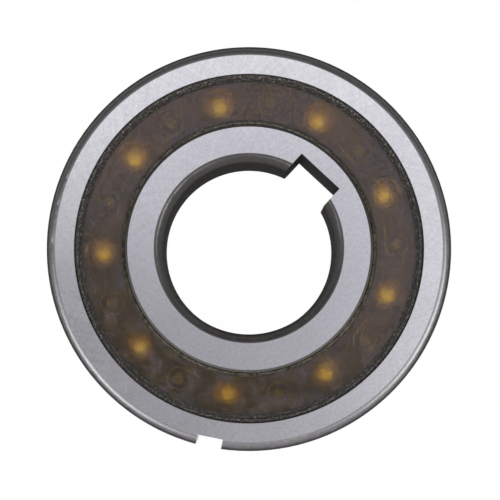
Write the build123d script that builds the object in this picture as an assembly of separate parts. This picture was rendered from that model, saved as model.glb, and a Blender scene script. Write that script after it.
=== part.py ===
from build123d import *

import math
import os

# A sprag clutch carried on its own balls: an overrunning coupling in the envelope of a metric
# ball bearing. Balls and sprags take turns round one cage, between two keyed steel rings, and a
# polymer dust shield closes each side. The part's axis is Z, the origin is on it at mid width,
# and the bore's keyway points along +X. All lengths are in millimetres and angles in degrees.

# Envelope, one of the standard metric bearing sizes.
bore_diameter = 20.0
outside_diameter = 47.0
width = 14.0
bore_corner = 1.0
outside_corner = 1.0

# Keyways. The depth of each is taken on its centre line from the round surface.
bore_key_width = 6.0
bore_key_depth = 2.2
outside_key_width = 3.0
outside_key_depth = 1.2
outside_key_angle = 211.4  # anticlockwise from the bore's keyway

# Races. The lands are the plain cylinders that the sprags wedge between, and balls and sprags
# stand on a pitch circle near the middle of the section from bore to outside.
pitch_offset = 0.4  # outwards from the middle of the section
race_gap = 5.5
inner_land_chamfer = 0.3

# Balls and their grooves.
ball_count = 9
ball_diameter = 6.35
first_ball_angle = 14.7
groove_conformity = 0.52  # groove radius over ball diameter
ball_play = 0.01  # radial play at each groove

# Shields. Each stands on the outer land's shoulder and snaps into a groove behind a lip.
shield_recess = 0.5  # below the rings' faces
shield_thickness = 0.5
shield_rim_thickness = 0.3
shield_ridge_width = 0.35
shield_hinge_width = 0.4  # the thin ring that lets the rim snap in
shield_hinge_depth = 0.25
shield_inner_gap = 0.35
shield_lip_height = 0.3  # from the land to the lip's bore
shield_lip_break = 0.1
shield_groove_depth = 0.3  # from the lip's bore to the groove's floor
shield_fit = 0.05

# Cage: a moulded body with one side ring and the webs, and a ring staked over its pegs.
cage_shield_gap = 0.25
cage_inner_gap = 0.12  # to the inner land, which guides the cage
cage_outer_gap = 0.4
cage_floor = 0.35  # left under a spring's pocket
ball_pocket_clearance = 0.15
ball_window_diameter = 3.8  # in the front side ring, over each ball
peg_diameter = 1.6
peg_clearance = 0.03

# Sprags. Their two cams have centres that are offset to either side of the radial line.
sprag_width = 2.6
sprag_waist = 2.0
sprag_corner = 0.2
sprag_end_play = 0.15
cam_offset = 0.3
cam_centre_height = 0.6
race_clearance = 0.02  # from each cam to its land at rest, ready to wedge
release_angle = 8.0  # how far a sprag tips back from its rest when the clutch overruns
trunnion_diameter = 1.25
trunnion_clearance = 0.03
trunnion_inset = 0.1  # below the cage's side faces

# Energising springs: a torsion coil round each front trunnion, one leg held in the cage and
# the other bent down beside the sprag.
spring_wire = 0.28
spring_coil_diameter = 2.66  # of the wire's centre line
spring_pitch = 0.31
spring_turns = 2
spring_clearance = 0.1
leg_clearance = 0.08  # from the free leg to the sprag when it tips right back
spring_fixed_leg = 2.2
spring_leg_bend = 0.35
spring_leg_drop = 1.2  # past the side ring, along the sprag

# Radii and levels that follow from the sizes above.
bore_radius = bore_diameter / 2
outside_radius = outside_diameter / 2
half_width = width / 2
pitch_radius = (bore_radius + outside_radius) / 2 + pitch_offset
inner_land_radius = pitch_radius - race_gap / 2
outer_land_radius = pitch_radius + race_gap / 2
ball_radius = ball_diameter / 2
groove_radius = groove_conformity * ball_diameter
lip_radius = outer_land_radius + shield_lip_height
shield_groove_radius = lip_radius + shield_groove_depth
shield_outer_level = half_width - shield_recess
shield_inner_level = shield_outer_level - shield_thickness
cage_outer_level = shield_inner_level - cage_shield_gap
spring_pocket_depth = spring_turns * spring_pitch + spring_wire + 2 * spring_clearance
spring_pocket_radius = (spring_coil_diameter + spring_wire) / 2 + spring_clearance
cage_ring_thickness = spring_pocket_depth + cage_floor
cage_inner_level = cage_outer_level - cage_ring_thickness
sprag_half_length = cage_inner_level - sprag_end_play

ball_step = 360 / ball_count
ball_angles = [first_ball_angle + k * ball_step for k in range(ball_count)]
sprag_angles = [angle + ball_step / 2 for angle in ball_angles]


def sprag_outline():
    """One sprag's outline in the frame of at_pitch: cam, right flank, cam, left flank."""
    half = sprag_width / 2
    top = pitch_radius + cam_centre_height
    bottom = pitch_radius - cam_centre_height
    outer_cam = outer_land_radius - race_clearance - math.hypot(cam_offset, top)
    inner_cam = math.hypot(cam_offset, bottom) - inner_land_radius - race_clearance

    def on_outer(x):
        return (x, cam_centre_height + math.sqrt(outer_cam**2 - (x + cam_offset) ** 2))

    def on_inner(x):
        return (x, -cam_centre_height - math.sqrt(inner_cam**2 - (x - cam_offset) ** 2))

    return [
        ThreePointArc(on_outer(-half), on_outer(0), on_outer(half)),
        ThreePointArc(on_outer(half), (sprag_waist / 2, 0), on_inner(half)),
        ThreePointArc(on_inner(half), on_inner(0), on_inner(-half)),
        ThreePointArc(on_inner(-half), (-sprag_waist / 2, 0), on_outer(-half)),
    ]


def flank_x(y):
    """How far the sprag's right flank stands from its radial line at a height."""
    flank = sprag_outline()[1]
    return flank.arc_center.X - math.sqrt(flank.radius**2 - (y - flank.arc_center.Y) ** 2)


# The spring's free leg stands where the sprag's flank comes when it tips right back.
flank_travel = spring_coil_diameter / 2 * math.sin(math.radians(release_angle))
free_leg_x = flank_x(-spring_coil_diameter / 2) + flank_travel + spring_wire / 2 + leg_clearance
sprag_slot_width = 2 * (free_leg_x + spring_wire / 2 + spring_clearance)


def tube(outer_radius, inner_radius, low, high):
    """A plain tube on the part's axis between two levels."""
    base = Location((0, 0, low))
    align = (Align.CENTER, Align.CENTER, Align.MIN)
    outside = Cylinder(outer_radius, high - low, align=align)
    return base * (outside - Cylinder(inner_radius, high - low, align=align))


def block(x, y, z):
    """A box between the low and high value given on each axis."""
    size = [high - low for low, high in (x, y, z)]
    middle = [(low + high) / 2 for low, high in (x, y, z)]
    return Location(middle) * Box(*size)


def at_pitch(angle):
    """The place on the pitch circle at an angle, with X along the circle and Y outwards."""
    return Rot(0, 0, angle - 90) * Pos(0, pitch_radius, 0)


def mirrored(shape):
    """The same shape on the rear side."""
    return mirror(shape, about=Plane.XY)


def rounded(ring, which, radius):
    """A ring with its innermost (0) or outermost (-1) circular edges rounded."""
    return fillet(ring.edges().filter_by(GeomType.CIRCLE).group_by(SortBy.RADIUS)[which], radius)


def outer_ring():
    """Outer ring: land, ball groove, a lip and groove for each shield, and a notched keyway."""
    ring = tube(outside_radius, outer_land_radius, -half_width, half_width)
    ring = rounded(ring, -1, outside_corner)
    groove_bottom = pitch_radius + ball_radius + ball_play
    ring -= Torus(groove_bottom - groove_radius, groove_radius)
    # The cutters run past the ring's face and bore, so that no skin is left.
    past = shield_thickness
    seat = tube(lip_radius, inner_land_radius, shield_inner_level, half_width + past)
    rim_top = shield_inner_level + shield_rim_thickness + shield_fit
    seat += tube(shield_groove_radius, inner_land_radius, shield_inner_level, rim_top)
    flare = shield_lip_break + past
    flare_middle = half_width - shield_lip_break + flare / 2
    seat += Pos(0, 0, flare_middle) * Cone(lip_radius, lip_radius + flare, flare)
    ring -= seat + mirrored(seat)
    key_floor = outside_radius - outside_key_depth
    half_key = outside_key_width / 2
    notch = block((key_floor, outside_diameter), (-half_key, half_key), (-width, width))
    return ring - Rot(0, 0, outside_key_angle) * notch


def inner_ring():
    """Inner ring: bore with its keyway along +X, land and ball groove."""
    ring = tube(inner_land_radius, bore_radius, -half_width, half_width)
    land_edges = ring.edges().filter_by(GeomType.CIRCLE).group_by(SortBy.RADIUS)[-1]
    ring = rounded(chamfer(land_edges, inner_land_chamfer), 0, bore_corner)
    groove_bottom = pitch_radius - ball_radius - ball_play
    ring -= Torus(groove_bottom + groove_radius, groove_radius)
    key_floor = bore_radius + bore_key_depth
    half_key = bore_key_width / 2
    return ring - block((0, key_floor), (-half_key, half_key), (-width, width))


def shield():
    """Front shield: a flat ring with a hinge groove, a ridge and the rim held in the ring."""
    inner_radius = inner_land_radius + shield_inner_gap
    rim_radius = shield_groove_radius - shield_fit
    rim_level = shield_inner_level + shield_rim_thickness
    ridge_radius = lip_radius - shield_fit
    hinge_radius = ridge_radius - shield_ridge_width
    hinge_level = shield_outer_level - shield_hinge_depth
    outline = Polyline(
        (inner_radius, shield_inner_level),
        (rim_radius, shield_inner_level),
        (rim_radius, rim_level),
        (ridge_radius, rim_level),
        (ridge_radius, shield_outer_level),
        (hinge_radius, shield_outer_level),
        (hinge_radius, hinge_level),
        (hinge_radius - shield_hinge_width, hinge_level),
        (hinge_radius - shield_hinge_width, shield_outer_level),
        (inner_radius, shield_outer_level),
        close=True,
    )
    return revolve(Plane.XZ * make_face(outline), axis=Axis.Z)


def spring_cut():
    """Room in the front side ring for one spring, in the frame of at_pitch."""
    floor = cage_outer_level - spring_pocket_depth
    past = cage_outer_level + cage_floor
    leg_line = -spring_coil_diameter / 2
    half_slot = spring_wire / 2 + spring_clearance
    across = (leg_line - half_slot, leg_line + half_slot)
    align = (Align.CENTER, Align.CENTER, Align.MIN)
    cut = Pos(0, 0, floor) * Cylinder(spring_pocket_radius, past - floor, align=align)
    shallow = cage_outer_level - spring_wire - 2 * spring_clearance
    cut += block((-spring_fixed_leg - spring_clearance, 0), across, (shallow, past))
    cut += block((0, free_leg_x), across, (floor, past))
    low = cage_inner_level - cage_floor
    drop = Cylinder(half_slot, past - low, align=align)
    return cut + Pos(free_leg_x, leg_line, low) * drop


def cage_cuts():
    """Ball pockets, sprag slots and trunnion holes, shared by both pieces of the cage."""
    cuts = []
    pocket_radius = ball_radius + ball_pocket_clearance
    hole_radius = trunnion_diameter / 2 + trunnion_clearance
    half_slot = sprag_slot_width / 2
    radial = (-race_gap, race_gap)
    slot = block((-half_slot, half_slot), radial, (-cage_inner_level, cage_inner_level))
    hole = Cylinder(hole_radius, width)
    for ball_angle, sprag_angle in zip(ball_angles, sprag_angles):
        cuts.append(at_pitch(ball_angle) * Rot(90, 0, 0) * Cylinder(pocket_radius, 2 * race_gap))
        cuts.append(at_pitch(sprag_angle) * (slot + hole))
    return cuts


def cage_blank(low, high):
    """A tube as wide as the cage between two levels."""
    outer_radius = outer_land_radius - cage_outer_gap
    return tube(outer_radius, inner_land_radius + cage_inner_gap, low, high)


def cage_pegs(clearance, low):
    """The pegs through the end ring, or with a clearance the holes for them."""
    radius = peg_diameter / 2 + clearance
    length = low + cage_outer_level
    peg = Pos(0, 0, -cage_outer_level + length / 2) * Cylinder(radius, length)
    return [at_pitch(angle) * peg for angle in ball_angles]


def cage_body(cuts):
    """Cage body: front side ring, the webs between balls and sprags, and the pegs."""
    body = cage_blank(-cage_inner_level, cage_outer_level) - cuts
    body -= [at_pitch(angle) * spring_cut() for angle in sprag_angles]
    window = Pos(0, 0, cage_outer_level) * Cylinder(ball_window_diameter / 2, width)
    body -= [at_pitch(angle) * window for angle in ball_angles]
    # A peg starts inside its web, midway between the side ring and the ball's pocket.
    root = -(cage_inner_level + ball_radius + ball_pocket_clearance) / 2
    return body + cage_pegs(0, root)


def cage_end_ring(cuts):
    """Rear side ring of the cage, with a hole for each peg."""
    ring = cage_blank(-cage_outer_level, -cage_inner_level) - cuts
    return ring - cage_pegs(peg_clearance, -cage_inner_level + peg_diameter)


def sprag():
    """One sprag in the frame of at_pitch: waisted cam body and a trunnion at each end."""
    face = make_face(sprag_outline())
    face = fillet(face.vertices(), sprag_corner)
    body = extrude(face, sprag_half_length, both=True)
    return body + Cylinder(trunnion_diameter / 2, 2 * (cage_outer_level - trunnion_inset))


def spring():
    """One torsion spring in the frame of at_pitch, wire swept along legs and helix."""
    coil_radius = spring_coil_diameter / 2
    height = spring_turns * spring_pitch
    coil = Helix(spring_pitch, height, coil_radius, lefthand=True)
    bottom = cage_outer_level - spring_pocket_depth + spring_clearance + spring_wire / 2
    coil = Pos(0, 0, bottom) * Rot(0, 0, -90) * coil
    free_corner = coil @ 0 - (coil % 0) * free_leg_x
    free_end = Vector(free_corner.X, free_corner.Y, cage_inner_level - spring_leg_drop)
    free_leg = FilletPolyline(free_end, free_corner, coil @ 0, radius=spring_leg_bend)
    fixed_leg = Line(coil @ 1, coil @ 1 + (coil % 1) * spring_fixed_leg)
    path = Wire([*free_leg.edges(), *coil.edges(), *fixed_leg.edges()])
    section = Plane(origin=path @ 0, z_dir=path % 0) * Circle(spring_wire / 2)
    return sweep(section, path=path)


def write(name, shape):
    export_step(shape, f"parts/{name}.step")


def main():
    os.makedirs("parts", exist_ok=True)
    write("outer_ring", outer_ring())
    write("inner_ring", inner_ring())
    write("front_shield", shield())
    write("rear_shield", mirrored(shield()))
    cuts = cage_cuts()
    write("cage_body", cage_body(cuts))
    write("cage_end_ring", cage_end_ring(cuts))
    for number, angle in enumerate(ball_angles, 1):
        write(f"ball_{number}", at_pitch(angle) * Sphere(ball_radius))
    for number, angle in enumerate(sprag_angles, 1):
        write(f"sprag_{number}", at_pitch(angle) * sprag())
        write(f"sprag_spring_{number}", at_pitch(angle) * spring())


main()
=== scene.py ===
"""Looks of a sprag clutch with its own balls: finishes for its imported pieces, a floor, a studio and a camera.

Frame: Z is the rings' axis, the origin is on it at mid width, and +X points through the bore's keyway.
Blender is given metres. The constants below are millimetres and degrees, and degrees count anticlockwise from
the keyway.
"""

import math

import bpy
import numpy as np
from mathutils import Matrix, Vector

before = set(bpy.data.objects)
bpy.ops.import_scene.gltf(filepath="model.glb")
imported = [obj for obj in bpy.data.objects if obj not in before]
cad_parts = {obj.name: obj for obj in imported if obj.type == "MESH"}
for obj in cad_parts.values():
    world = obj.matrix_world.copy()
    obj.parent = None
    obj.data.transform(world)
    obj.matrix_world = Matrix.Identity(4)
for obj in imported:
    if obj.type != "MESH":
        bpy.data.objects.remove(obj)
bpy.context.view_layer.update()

MM = 0.001

# Sizes of the part that the finishes are placed by.
FACE = 7.0  # height of the rings' faces above mid width
CORNER_FOOT = FACE - 1.03  # just below the rings' corner rounds
BORE_ROUND = 11.0  # radius where the bore's corner round meets the face
LAND_IN = 14.4  # inner ring's land
LIP = 20.2  # outer ring's lip over each shield
OUTSIDE_ROUND = 22.5  # radius where the face meets the outside's corner round
INNER_FACE = 12.6  # middle of the inner ring's face
OUTER_FACE = 21.4  # middle of the outer ring's face
SHIELD_IN = 14.75  # shield's inner edge
HINGE_IN = 19.4  # shield's hinge groove, its inner and outer wall
HINGE_OUT = 19.8
PITCH = 17.15  # circle of the balls and sprags
FIRST_BALL = 14.7  # angle of a ball at rest
BALL_STEP = 40.0
WINDOW_RADIUS = 1.9  # of the cage's window over each ball
CAGE_FACE = 5.75
DARKER_SIDE = 203.0  # the side that the shield's dark patches grow towards

# Ranges that noise mostly keeps to, for a MapRange that spreads it over its whole output.
MIDDLE = {"From Min": 0.35, "From Max": 0.65}
MOST = {"From Min": 0.3, "From Max": 0.7}

# The picture. Bearings in it count anticlockwise from its right.
KEYWAY_BEARING = 47.0
AIM_ACROSS = 0.12  # the point that the camera looks at, from the middle of the front face
AIM_DOWN = 0.245
CAMERA_TIP = 2.65  # how far the camera leans from the axis towards the picture's foot
CAMERA_DISTANCE = 255.0
FIELD_OF_VIEW = 12.95

# The studio. Tilts are from straight up, and reaches are angles as well.
FLOOR_GAP = 0.02  # below the rear faces
FLOOR_HALF = 3000.0
FLOOR_WHITE = 0.99  # share of the floor that is plain white to the eye
CEILING_FULL = 15.0  # tilt where the ceiling starts to give way to the walls
CEILING_END = 24.0
DIM_PLACES = (  # bearing, tilt, reach and depth of each
    (71, 3.3, 4.6, 0.45),
    (176, 6.6, 5.4, 0.9),
    (244, 4.4, 12.0, 0.74),
)
SOFTBOXES = ((218, 4.2), (338, 4.6))  # bearing and strength of each
SOFTBOX_TILT = 38.0
SOFTBOX_CORE = 8.0  # reach of its full strength
SOFTBOX_END = 22.0


def linear(colour):
    """An sRGB hex colour as linear red, green, blue and an alpha of 1."""
    parts = [int(colour[i : i + 2], 16) / 255 for i in (1, 3, 5)]
    return [c / 12.92 if c <= 0.04045 else ((c + 0.055) / 1.055) ** 2.4 for c in parts] + [1.0]


def add(tree, kind, sockets=None, **settings):
    """Adds a node, sets its properties, and gives each named socket a value or a link."""
    node = tree.nodes.new("ShaderNode" + kind)
    for name, value in settings.items():
        setattr(node, name, value)
    for name, value in (sockets or {}).items():
        if isinstance(value, bpy.types.NodeSocket):
            tree.links.new(value, node.inputs[name])
        else:
            node.inputs[name].default_value = value
    return node


def finish(name):
    """An empty material and its node tree."""
    material = bpy.data.materials.new(name)
    material.use_nodes = True
    material.node_tree.nodes.clear()
    return material, material.node_tree


def show(tree, shader):
    """Links a shader to the tree's output."""
    add(tree, "OutputMaterial", {"Surface": shader})


def round_the_axis(tree):
    """Object coordinates, flattened ones, distance from the axis in mm and height from mid width in mm."""
    place = add(tree, "TexCoord").outputs["Object"]
    flat = add(tree, "VectorMath", {0: place, 1: (1, 1, 0)}, operation="MULTIPLY").outputs[0]
    radius = add(tree, "VectorMath", {0: flat}, operation="LENGTH").outputs["Value"]
    radius = add(tree, "Math", {0: radius, 1: 1 / MM}, operation="MULTIPLY").outputs[0]
    height = add(tree, "SeparateXYZ", {0: place}).outputs["Z"]
    height = add(tree, "Math", {0: height}, operation="ABSOLUTE").outputs[0]
    height = add(tree, "Math", {0: height, 1: 1 / MM}, operation="MULTIPLY").outputs[0]
    return place, flat, radius, height


def grinding(tree, flat, radius, spacing, at_radius, lean):
    """Two crossing sets of hairlines across a ring's face, as one value about 0.5.

    Each set is noise on the circle direction of a point turned by its radius, so its lines are spirals that
    cross the face at the lean given in degrees from the radial line at at_radius, and it has no seam. spacing
    is the distance from line to line along the circle, in mm.
    """
    turn_per_mm = math.tan(math.radians(lean)) / at_radius
    change_along_a_line = 0.005  # of the noise's place, per mm outwards
    sets = []
    for sign, detail in ((1, 2.0), (-1, 3.0)):
        angle = add(tree, "Math", {0: radius, 1: sign * turn_per_mm}, operation="MULTIPLY").outputs[0]
        spiral = add(
            tree,
            "VectorRotate",
            {"Vector": flat, "Axis": (0, 0, 1), "Angle": angle},
            rotation_type="AXIS_ANGLE",
        ).outputs[0]
        spiral = add(tree, "VectorMath", {0: spiral}, operation="NORMALIZE").outputs[0]
        along = add(tree, "Math", {0: radius, 1: change_along_a_line}, operation="MULTIPLY").outputs[0]
        lift = add(tree, "CombineXYZ", {"Z": along}).outputs[0]
        spiral = add(tree, "VectorMath", {0: spiral, 1: lift}, operation="ADD").outputs[0]
        lines = add(
            tree,
            "TexNoise",
            {"Vector": spiral, "Scale": at_radius / (2 * spacing), "Detail": detail, "Roughness": 0.6},
        ).outputs[0]
        sets.append(lines)
    both = add(tree, "Math", {0: sets[0], 1: sets[1]}, operation="ADD").outputs[0]
    return add(tree, "Math", {0: both, 1: 0.5}, operation="MULTIPLY").outputs[0]


def turning(tree, flat, height, spacing):
    """Fine lines round a bore or an outside, spacing mm apart, as one value about 0.5.

    It is noise on a circle of radius 0.8, small enough that each line goes round nearly unchanged, drawn out
    along the axis by half a unit for each spacing.
    """
    way = add(tree, "VectorMath", {0: flat}, operation="NORMALIZE").outputs[0]
    way = add(tree, "VectorMath", {0: way, "Scale": 0.8}, operation="SCALE").outputs[0]
    step = add(tree, "Math", {0: height, 1: 0.5 / spacing}, operation="MULTIPLY").outputs[0]
    lift = add(tree, "CombineXYZ", {"Z": step}).outputs[0]
    way = add(tree, "VectorMath", {0: way, 1: lift}, operation="ADD").outputs[0]
    return add(tree, "TexNoise", {"Vector": way, "Scale": 1.0, "Detail": 3.0, "Roughness": 0.6}).outputs[0]


def ring_steel(
    name, face_colour, dull_and_shaded_colours, oxide_and_shade_colour, bore_shade_colour, wall_tones, at_radius, oxide_and_shade_from, zones
):
    """Through-hardened bearing steel, ground on the faces, duller where the turned corners start.

    Further down the corners a dark colour stands for oxide from hardening together with painted shade, and
    bores and keyways are painted darker still as shade. The two dull colours, darker than the face partly as
    painted shade, are for corners nearer the axis than at_radius, the middle of the face, and for those further
    out. wall_tones are the darkest and lightest lines on upright walls, and oxide_and_shade_from is how far
    below the face the oxide and painted shade begin, in mm. Each zone gives the radius in mm where a corner
    meets the face, a sign that is 1 outwards and -1 inwards, the height in mm from mid width down to which it
    goes, and how much of it is oxide and painted shade.
    """
    material, tree = finish(name)
    place, flat, radius, height = round_the_axis(tree)
    # Grinding leaves marks of a few hundredths of a millimetre. They are drawn 0.3 mm apart, and those of
    # turning 0.1 mm apart, to be coarse enough to show.
    lines = grinding(tree, flat, radius, spacing=0.3, at_radius=at_radius, lean=40)
    upright = add(tree, "SeparateXYZ", {0: add(tree, "NewGeometry").outputs["Normal"]}).outputs["Z"]
    upright = add(tree, "Math", {0: upright}, operation="ABSOLUTE").outputs[0]
    upright = add(tree, "Math", {0: upright, 1: 0.3}, operation="LESS_THAN").outputs[0]
    rounds = turning(tree, flat, height, spacing=0.1)
    lines = add(
        tree, "Mix", {"Factor": upright, "A": lines, "B": rounds}, data_type="FLOAT"
    ).outputs["Result"]
    cloud = add(tree, "TexNoise", {"Vector": place, "Scale": 1 / (6 * MM), "Detail": 4.0}).outputs[0]
    uneven = add(tree, "TexNoise", {"Vector": place, "Scale": 1 / (1.2 * MM), "Detail": 3.0}).outputs[0]
    uneven = add(tree, "MapRange", {"Value": uneven, **MOST, "To Min": -0.04, "To Max": 0.04}).outputs[0]
    level = add(tree, "Math", {0: height, 1: uneven}, operation="ADD").outputs[0]

    # turned is 1 on the corners and walls and 0 on the face, and the second mask is how far oxide and painted
    # shade may cover them.
    turned = oxide_and_shade_reach = None
    for corner, sign, down_to, amount in zones:
        here = add(
            tree,
            "MapRange",
            {"Value": radius, "From Min": corner, "From Max": corner + sign * 0.1},
            interpolation_type="SMOOTHSTEP",
        ).outputs[0]
        # Walls that stand square to the face, such as a keyway's, count too, from just under the face and
        # up to 2 mm in from the corner.
        side = "GREATER_THAN" if sign > 0 else "LESS_THAN"
        wall = add(tree, "Math", {0: radius, 1: corner + sign * -2}, operation=side).outputs[0]
        sunk = add(tree, "Math", {0: height, 1: FACE - 0.03}, operation="LESS_THAN").outputs[0]
        sunk = add(tree, "Math", {0: sunk, 1: wall}, operation="MULTIPLY").outputs[0]
        here = add(tree, "Math", {0: here, 1: sunk}, operation="MAXIMUM").outputs[0]
        kept = add(tree, "Math", {0: height, 1: down_to}, operation="GREATER_THAN").outputs[0]
        here = add(tree, "Math", {0: here, 1: kept}, operation="MULTIPLY").outputs[0]
        some = add(tree, "Math", {0: here, 1: amount}, operation="MULTIPLY").outputs[0]
        if turned is None:
            turned, oxide_and_shade_reach = here, some
        else:
            turned = add(tree, "Math", {0: turned, 1: here}, operation="MAXIMUM").outputs[0]
            oxide_and_shade_reach = add(tree, "Math", {0: oxide_and_shade_reach, 1: some}, operation="MAXIMUM").outputs[0]
    # Painted shade, with some oxide: below the face the corners and walls darken, and from about 1 mm down they
    # take the still darker bore colour, which is painted shade alone.
    oxide_and_shade = add(
        tree,
        "MapRange",
        {"Value": level, "From Min": FACE - oxide_and_shade_from, "From Max": FACE - oxide_and_shade_from * 5},
        interpolation_type="SMOOTHSTEP",
    ).outputs[0]
    oxide_and_shade = add(tree, "Math", {0: oxide_and_shade, 1: oxide_and_shade_reach}, operation="MULTIPLY").outputs[0]
    deep = add(
        tree,
        "MapRange",
        {"Value": level, "From Min": FACE - 0.8, "From Max": FACE - 1.1},
        interpolation_type="SMOOTHSTEP",
    ).outputs[0]
    dark = add(
        tree, "Mix", {"Factor": deep, "A": linear(oxide_and_shade_colour), "B": linear(bore_shade_colour)}, data_type="RGBA"
    ).outputs["Result"]

    # The tone multiplies every colour: hairlines, a slow drift over the face and a fine mottle.
    darkest, lightest = wall_tones
    least = add(
        tree, "Mix", {"Factor": upright, "A": 0.93, "B": darkest}, data_type="FLOAT"
    ).outputs["Result"]
    most = add(
        tree, "Mix", {"Factor": upright, "A": 1.05, "B": lightest}, data_type="FLOAT"
    ).outputs["Result"]
    tone = add(tree, "MapRange", {"Value": lines, **MIDDLE, "To Min": least, "To Max": most}).outputs[0]
    drift = add(tree, "MapRange", {"Value": cloud, **MOST, "To Min": 0.97, "To Max": 1.03}).outputs[0]
    tone = add(tree, "Math", {0: tone, 1: drift}, operation="MULTIPLY").outputs[0]
    mottle = add(
        tree, "TexNoise", {"Vector": place, "Scale": 1 / (0.35 * MM), "Detail": 3.0, "Roughness": 0.7}
    ).outputs[0]
    mottle = add(tree, "MapRange", {"Value": mottle, **MOST, "To Min": 0.9, "To Max": 1.1}).outputs[0]
    tone = add(tree, "Math", {0: tone, 1: mottle}, operation="MULTIPLY").outputs[0]

    # The dull colours of the corner rounds are darker than the face partly as painted shade.
    nearer, further = dull_and_shaded_colours
    outer = add(tree, "Math", {0: radius, 1: at_radius}, operation="GREATER_THAN").outputs[0]
    dull = add(
        tree, "Mix", {"Factor": outer, "A": linear(nearer), "B": linear(further)}, data_type="RGBA"
    ).outputs["Result"]
    body = add(
        tree, "Mix", {"Factor": turned, "A": linear(face_colour), "B": dull}, data_type="RGBA"
    ).outputs["Result"]
    body = add(tree, "Mix", {"Factor": oxide_and_shade, "A": body, "B": dark}, data_type="RGBA").outputs["Result"]
    body = add(tree, "VectorMath", {0: body, "Scale": tone}, operation="SCALE").outputs[0]

    # The ground face is the smoothest, and where oxide and painted shade lie the surface is rough and no bare
    # metal.
    rough = add(tree, "MapRange", {"Value": lines, **MIDDLE, "To Min": 0.17, "To Max": 0.12}).outputs[0]
    for where, roughness in ((upright, 0.3), (turned, 0.32), (oxide_and_shade, 0.85)):
        rough = add(
            tree, "Mix", {"Factor": where, "A": rough, "B": roughness}, data_type="FLOAT"
        ).outputs["Result"]
    metal = add(tree, "Mix", {"Factor": oxide_and_shade, "A": 1.0, "B": 0.0}, data_type="FLOAT").outputs["Result"]
    bump = add(tree, "Bump", {"Height": lines, "Strength": 0.07, "Distance": 0.004 * MM}).outputs[0]
    shader = add(
        tree,
        "BsdfPrincipled",
        {
            "Base Color": body,
            "Metallic": metal,
            "Roughness": rough,
            "Normal": bump,
            "Specular IOR Level": 0.05,
        },
    ).outputs[0]
    show(tree, shader)
    return material


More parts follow.
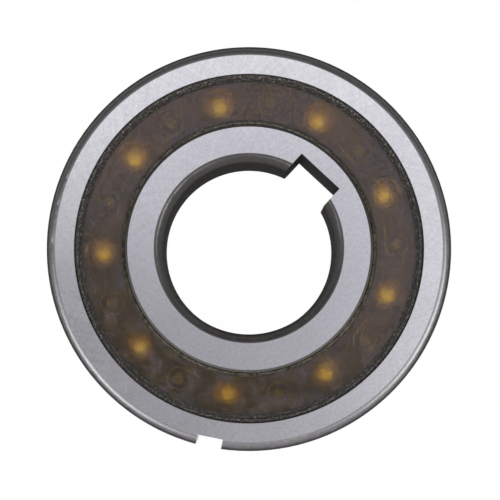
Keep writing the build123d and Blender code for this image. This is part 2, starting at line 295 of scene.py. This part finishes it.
def shield_amber(name):
    """Moulded amber polymer 0.5 mm thick: clear enough to glow over the balls, under haze and an oily sheen.

    Haze is a mottled share of a second, cloudy surface over the clear one, and the grit, with painted shade in
    the groove and along the edges, is nearly all cloudy.
    """
    material, tree = finish(name)
    place, flat, radius, _ = round_the_axis(tree)
    cloud = add(tree, "TexNoise", {"Vector": place, "Scale": 1 / (5 * MM), "Detail": 4.0}).outputs[0]
    cloud = add(tree, "MapRange", {"Value": cloud, **MIDDLE}).outputs[0]
    haze = add(
        tree, "Mix", {"Factor": cloud, "A": linear("#6e6b8d"), "B": linear("#897688")}, data_type="RGBA"
    ).outputs["Result"]
    fleck = add(tree, "TexNoise", {"Vector": place, "Scale": 1 / (0.25 * MM), "Detail": 3.0}).outputs[0]

    # Grease and grit with pale flecks lie in the hinge groove and along the inner edge, and the ridge outside
    # the groove is worn grey. Their dark base colours are painted shade of the groove, the lip and the gap at
    # the inner edge.
    edges = []
    for start, end in (
        (HINGE_IN - 0.15, HINGE_IN + 0.05),
        (HINGE_OUT - 0.05, HINGE_OUT + 0.05),
        (SHIELD_IN + 0.25, SHIELD_IN),
    ):
        edge = add(
            tree,
            "MapRange",
            {"Value": radius, "From Min": start, "From Max": end},
            interpolation_type="SMOOTHSTEP",
        )
        edges.append(edge.outputs[0])
    groove, ridge, margin = edges
    soiled_and_shaded = add(tree, "Math", {0: groove, 1: margin}, operation="MAXIMUM").outputs[0]
    bright = add(tree, "MapRange", {"Value": fleck, "From Min": 0.5, "From Max": 0.66}).outputs[0]
    grit_and_shade = add(
        tree, "Mix", {"Factor": bright, "A": linear("#161311"), "B": linear("#665f57")}, data_type="RGBA"
    ).outputs["Result"]
    worn_and_shaded = add(
        tree, "Mix", {"Factor": bright, "A": linear("#282422"), "B": linear("#756f68")}, data_type="RGBA"
    ).outputs["Result"]
    grit_and_shade = add(tree, "Mix", {"Factor": ridge, "A": grit_and_shade, "B": worn_and_shaded}, data_type="RGBA").outputs["Result"]

    # Dull dark patches in the haze grow towards one side, and under them the clear tint is a little deeper.
    darker_way = math.radians(DARKER_SIDE)
    towards_darker_side = (math.cos(darker_way), math.sin(darker_way), 0)
    foot = add(tree, "VectorMath", {0: flat, 1: towards_darker_side}, operation="DOT_PRODUCT").outputs["Value"]
    foot = add(
        tree,
        "MapRange",
        {"Value": foot, "From Min": -2 * MM, "From Max": 14 * MM, "To Min": 0.1, "To Max": 1.0},
    ).outputs[0]
    dark_patches = add(
        tree, "TexNoise", {"Vector": place, "Scale": 1 / (2.2 * MM), "Detail": 5.0, "Roughness": 0.65}
    ).outputs[0]
    dark_patches = add(tree, "MapRange", {"Value": dark_patches, "From Min": 0.35, "From Max": 0.55}).outputs[0]
    dark_patches = add(tree, "Math", {0: dark_patches, 1: foot}, operation="MULTIPLY").outputs[0]
    haze = add(
        tree, "Mix", {"Factor": dark_patches, "A": haze, "B": linear("#2c2434")}, data_type="RGBA"
    ).outputs["Result"]
    # The colour turns before the grit and painted shade cover, so no pale line of haze is left beside it.
    coloured = add(tree, "MapRange", {"Value": soiled_and_shaded, "From Max": 0.25}).outputs[0]
    body = add(tree, "Mix", {"Factor": coloured, "A": haze, "B": grit_and_shade}, data_type="RGBA").outputs["Result"]
    bump = add(tree, "Bump", {"Height": fleck, "Strength": 0.15, "Distance": 0.01 * MM}).outputs[0]
    clear_tint = add(
        tree, "Mix", {"Factor": dark_patches, "A": linear("#ffe77c"), "B": linear("#f0d566")}, data_type="RGBA"
    ).outputs["Result"]
    clear = add(
        tree,
        "BsdfPrincipled",
        {
            "Base Color": clear_tint,
            "Roughness": 0.3,
            "IOR": 1.36,
            "Transmission Weight": 1.0,
            "Normal": bump,
        },
    ).outputs[0]
    cloudy = add(
        tree,
        "BsdfPrincipled",
        {"Base Color": body, "Roughness": 0.4, "IOR": 1.5, "Specular IOR Level": 0.35, "Normal": bump},
    ).outputs[0]

    # The haze is thin and mottled, and the grit and painted shade hide nearly all that is under it.
    mottle = add(
        tree, "TexNoise", {"Vector": place, "Scale": 1 / (0.45 * MM), "Detail": 5.0, "Roughness": 0.75}
    ).outputs[0]
    mottle = add(
        tree,
        "MapRange",
        {"Value": mottle, "From Min": 0.4, "From Max": 0.65, "To Min": 0.07, "To Max": 0.23},
    ).outputs[0]
    share = add(tree, "Mix", {"Factor": soiled_and_shaded, "A": mottle, "B": 0.94}, data_type="FLOAT").outputs["Result"]
    show(tree, add(tree, "MixShader", {0: share, 1: clear, 2: cloudy}).outputs[0])
    return material


def plain_metal(name, colour, roughness, spread, grain_mm):
    """A metal whose roughness and tone drift by spread over a grain given in mm."""
    material, tree = finish(name)
    place = add(tree, "TexCoord").outputs["Object"]
    cloud = add(tree, "TexNoise", {"Vector": place, "Scale": 1 / (grain_mm * MM), "Detail": 3.0}).outputs[0]
    smooth, coarse = roughness * (1 - spread), roughness * (1 + spread)
    rough = add(tree, "MapRange", {"Value": cloud, **MOST, "To Min": smooth, "To Max": coarse}).outputs[0]
    tone = add(
        tree, "MapRange", {"Value": cloud, **MOST, "To Min": 1 - spread / 2, "To Max": 1.0}
    ).outputs[0]
    body = add(tree, "VectorMath", {0: linear(colour)[:3], "Scale": tone}, operation="SCALE").outputs[0]
    shader = add(tree, "BsdfPrincipled", {"Base Color": body, "Metallic": 1.0, "Roughness": rough}).outputs[0]
    show(tree, shader)
    return material


def cage_polyamide(name):
    """Moulded glass-filled polyamide: a dull dark brown with paler fibre flecks."""
    material, tree = finish(name)
    place, flat, radius, height = round_the_axis(tree)
    fleck = add(tree, "TexNoise", {"Vector": place, "Scale": 1 / (0.4 * MM), "Detail": 3.0}).outputs[0]
    body = add(
        tree, "Mix", {"Factor": fleck, "A": linear("#1f1812"), "B": linear("#2e231a")}, data_type="RGBA"
    ).outputs["Result"]

    # Light that comes back off the balls warms the walls of their windows, fading in below the cage's face.
    # apart is the distance in mm from the nearest ball's centre line, measured round the pitch circle and
    # along the radius.
    turned = add(tree, "SeparateXYZ", {0: flat}).outputs
    turned = add(tree, "Math", {0: turned["Y"], 1: turned["X"]}, operation="ARCTAN2").outputs[0]
    turned = add(tree, "Math", {0: turned, 1: -math.radians(FIRST_BALL)}, operation="ADD").outputs[0]
    half_step = math.radians(BALL_STEP / 2)
    turned = add(tree, "Math", {0: turned, 1: half_step}, operation="PINGPONG").outputs[0]
    beside = add(tree, "Math", {0: turned, 1: PITCH}, operation="MULTIPLY").outputs[0]
    inwards = add(tree, "Math", {0: radius, 1: PITCH}, operation="SUBTRACT").outputs[0]
    apart = add(tree, "CombineXYZ", {"X": beside, "Y": inwards}).outputs[0]
    apart = add(tree, "VectorMath", {0: apart}, operation="LENGTH").outputs["Value"]
    warm = add(
        tree,
        "MapRange",
        {"Value": apart, "From Min": WINDOW_RADIUS + 0.15, "From Max": WINDOW_RADIUS + 0.05},
        interpolation_type="SMOOTHSTEP",
    ).outputs[0]
    upright = add(tree, "SeparateXYZ", {0: add(tree, "NewGeometry").outputs["Normal"]}).outputs["Z"]
    upright = add(tree, "Math", {0: upright}, operation="ABSOLUTE").outputs[0]
    upright = add(tree, "Math", {0: upright, 1: 0.5}, operation="LESS_THAN").outputs[0]
    warm = add(tree, "Math", {0: warm, 1: upright}, operation="MULTIPLY").outputs[0]
    sunk = add(
        tree, "MapRange", {"Value": height, "From Min": CAGE_FACE, "From Max": CAGE_FACE - 0.8}
    ).outputs[0]
    warm = add(tree, "Math", {0: warm, 1: sunk}, operation="MULTIPLY").outputs[0]
    body = add(
        tree, "Mix", {"Factor": warm, "A": body, "B": linear("#bca04a")}, data_type="RGBA"
    ).outputs["Result"]

    # Grease with pale dust in it lies along the inner edge, where the shields leave it open.
    dusty = add(
        tree,
        "MapRange",
        {"Value": radius, "From Min": SHIELD_IN + 0.1, "From Max": SHIELD_IN - 0.05},
        interpolation_type="SMOOTHSTEP",
    ).outputs[0]
    dust = add(tree, "MapRange", {"Value": fleck, "From Min": 0.35, "From Max": 0.6}).outputs[0]
    grease = add(
        tree, "Mix", {"Factor": dust, "A": linear("#4a4541"), "B": linear("#96908a")}, data_type="RGBA"
    ).outputs["Result"]
    body = add(tree, "Mix", {"Factor": dusty, "A": body, "B": grease}, data_type="RGBA").outputs["Result"]
    bump = add(tree, "Bump", {"Height": fleck, "Strength": 0.2, "Distance": 0.02 * MM}).outputs[0]
    shader = add(
        tree,
        "BsdfPrincipled",
        {"Base Color": body, "Roughness": 0.6, "IOR": 1.53, "Specular IOR Level": 0.2, "Normal": bump},
    ).outputs[0]
    show(tree, shader)
    return material


finishes = {
    # Pale satin faces under crossed hairlines, with dull grey corners that darken to oxide and painted shade at
    # the outside.
    "outer_ring": ring_steel(
        "ground_bearing_steel_outer",
        face_colour="#e0dfe7",
        dull_and_shaded_colours=("#5a5856", "#7b797b"),
        oxide_and_shade_colour="#3c3a3c",
        bore_shade_colour="#2c2a29",
        wall_tones=(0.6, 0.8),
        at_radius=OUTER_FACE,
        oxide_and_shade_from=0.08,
        zones=((OUTSIDE_ROUND - 0.09, 1, CORNER_FOOT, 1.0), (LIP + 0.1, -1, CORNER_FOOT, 1.0)),
    ),
    # The same satin faces, with a bore and keyway painted nearly black as shade.
    "inner_ring": ring_steel(
        "ground_bearing_steel_inner",
        face_colour="#d8d6e0",
        dull_and_shaded_colours=("#504e4e", "#7c7976"),
        oxide_and_shade_colour="#454341",
        bore_shade_colour="#262422",
        wall_tones=(0.7, 1.3),
        at_radius=INNER_FACE,
        oxide_and_shade_from=0.03,
        zones=((BORE_ROUND + 0.08, -1, -1.0, 1.0), (LAND_IN - 0.3, 1, FACE - 1.5, 0.1)),
    ),
    "shield": shield_amber("moulded_amber_polymer"),
    "cage": cage_polyamide("moulded_glass_filled_polyamide"),
    # A lapped ball is a mirror, which a film of grease blurs, so it glows as a soft spot through the shield.
    "ball": plain_metal("lapped_chrome_steel", "#fff9e6", roughness=0.47, spread=0.1, grain_mm=3.0),
    # Drawn wire keeps a dull sheen along its coil. A spring's name holds its sprag's, so springs come first.
    "spring": plain_metal("drawn_stainless_wire", "#7a7571", roughness=0.45, spread=0.3, grain_mm=0.5),
    # Tumbling leaves the sprags an even dark grey, which shows as a faint disc at each trunnion.
    "sprag": plain_metal("tumbled_hardened_steel", "#635e5d", roughness=0.5, spread=0.25, grain_mm=0.8),
}
for name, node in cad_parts.items():
    kind = next(kind for kind in finishes if kind in name)
    node.material_slots[0].material = finishes[kind]

# The floor that the clutch lies on: white to the eye and in reflections, with the shadow in its matt share.
floor_material, tree = finish("matt_white_card")
path = add(tree, "LightPath").outputs
seen = add(
    tree, "Math", {0: path["Is Camera Ray"], 1: path["Is Glossy Ray"]}, operation="MAXIMUM"
).outputs[0]
seen = add(tree, "Math", {0: seen, 1: path["Is Transmission Ray"]}, operation="MAXIMUM").outputs[0]
seen = add(tree, "Math", {0: seen, 1: FLOOR_WHITE}, operation="MULTIPLY").outputs[0]
matt = add(tree, "BsdfDiffuse", {"Color": linear("#f4f4f4")}).outputs[0]
white = add(tree, "Emission", {"Color": (1, 1, 1, 1), "Strength": 1.0}).outputs[0]
show(tree, add(tree, "MixShader", {0: seen, 1: matt, 2: white}).outputs[0])
mesh = bpy.data.meshes.new("floor")
corners = np.array([(-1, -1, 0), (1, -1, 0), (1, 1, 0), (-1, 1, 0)], float) * FLOOR_HALF * MM
corners[:, 2] = -(FACE + FLOOR_GAP) * MM
mesh.from_pydata(corners.tolist(), [], [(0, 1, 2, 3)])
mesh.materials.append(floor_material)
floor = bpy.data.objects.new("floor", mesh)
bpy.context.scene.collection.objects.link(floor)

# Directions of the picture: across to the right, and up.
turn = math.radians(KEYWAY_BEARING)
across = Vector((math.cos(turn), -math.sin(turn), 0))
upright = Vector((math.sin(turn), math.cos(turn), 0))


def ray_towards(bearing, tilt):
    """The unit direction at a bearing in the picture, tilted from straight up, both in degrees."""
    b, t = math.radians(bearing), math.radians(tilt)
    return (across * math.cos(b) + upright * math.sin(b)) * math.sin(t) + Vector((0, 0, math.cos(t)))


# The studio: a soft ceiling with dim places in it, one of them made by the camera, walls that are darker
# behind the picture's top, and two round softboxes at the lower left and the right.
world = bpy.data.worlds.new("studio")
bpy.context.scene.world = world
world.use_nodes = True
tree = world.node_tree
tree.nodes.clear()
ray = add(tree, "TexCoord").outputs["Generated"]
ceiling = None
for bearing, tilt, reach, depth in DIM_PLACES:
    near = add(tree, "VectorMath", {0: ray, 1: ray_towards(bearing, tilt)}, operation="DOT_PRODUCT")
    apart = add(tree, "Math", {0: near.outputs["Value"]}, operation="ARCCOSINE").outputs[0]
    dim = add(
        tree,
        "MapRange",
        {
            "Value": apart,
            "From Min": 0.0,
            "From Max": math.radians(reach),
            "To Min": 1 - depth,
            "To Max": 1.0,
        },
        interpolation_type="SMOOTHSTEP",
    ).outputs[0]
    if ceiling is None:
        ceiling = dim
    else:
        ceiling = add(tree, "Math", {0: ceiling, 1: dim}, operation="MULTIPLY").outputs[0]
back = add(tree, "VectorMath", {0: ray, 1: upright}, operation="DOT_PRODUCT").outputs["Value"]
walls = add(
    tree,
    "MapRange",
    {"Value": back, "From Min": -0.35, "From Max": 0.3, "To Min": 0.9, "To Max": 0.28},
    interpolation_type="SMOOTHSTEP",
).outputs[0]
rise = add(tree, "SeparateXYZ", {0: ray}).outputs["Z"]
overhead = add(
    tree,
    "MapRange",
    {
        "Value": rise,
        "From Min": math.cos(math.radians(CEILING_END)),
        "From Max": math.cos(math.radians(CEILING_FULL)),
    },
    interpolation_type="SMOOTHSTEP",
).outputs[0]
level = add(
    tree, "Mix", {"Factor": overhead, "A": walls, "B": ceiling}, data_type="FLOAT"
).outputs["Result"]
for bearing, strength in SOFTBOXES:
    near = add(tree, "VectorMath", {0: ray, 1: ray_towards(bearing, SOFTBOX_TILT)}, operation="DOT_PRODUCT")
    box = add(
        tree,
        "MapRange",
        {
            "Value": near.outputs["Value"],
            "From Min": math.cos(math.radians(SOFTBOX_END)),
            "From Max": math.cos(math.radians(SOFTBOX_CORE)),
            "To Max": strength,
        },
        interpolation_type="SMOOTHSTEP",
    ).outputs[0]
    level = add(tree, "Math", {0: level, 1: box}, operation="ADD").outputs[0]
path = add(tree, "LightPath").outputs
level = add(
    tree, "Mix", {"Factor": path["Is Camera Ray"], "A": level, "B": 1.0}, data_type="FLOAT"
).outputs["Result"]
sky = add(tree, "Background", {"Color": (1, 1, 1, 1), "Strength": level}).outputs[0]
add(tree, "OutputWorld", {"Surface": sky})

# The camera looks down on the front face, a little towards the picture's top.
aim = Vector((0, 0, FACE * MM)) + across * AIM_ACROSS * MM - upright * AIM_DOWN * MM
tip = math.radians(CAMERA_TIP)
away = Vector((0, 0, 1)) * math.cos(tip) - upright * math.sin(tip)
camera_data = bpy.data.cameras.new("camera")
camera_data.angle = math.radians(FIELD_OF_VIEW)
camera_data.clip_start = 0.01
camera = bpy.data.objects.new("camera", camera_data)
bpy.context.scene.collection.objects.link(camera)
turned_to = Matrix((across, away.cross(across), away)).transposed().to_4x4()
camera.matrix_world = Matrix.Translation(aim + away * (CAMERA_DISTANCE * MM)) @ turned_to
bpy.context.scene.camera = camera
bpy.context.scene.view_settings.view_transform = "Standard"
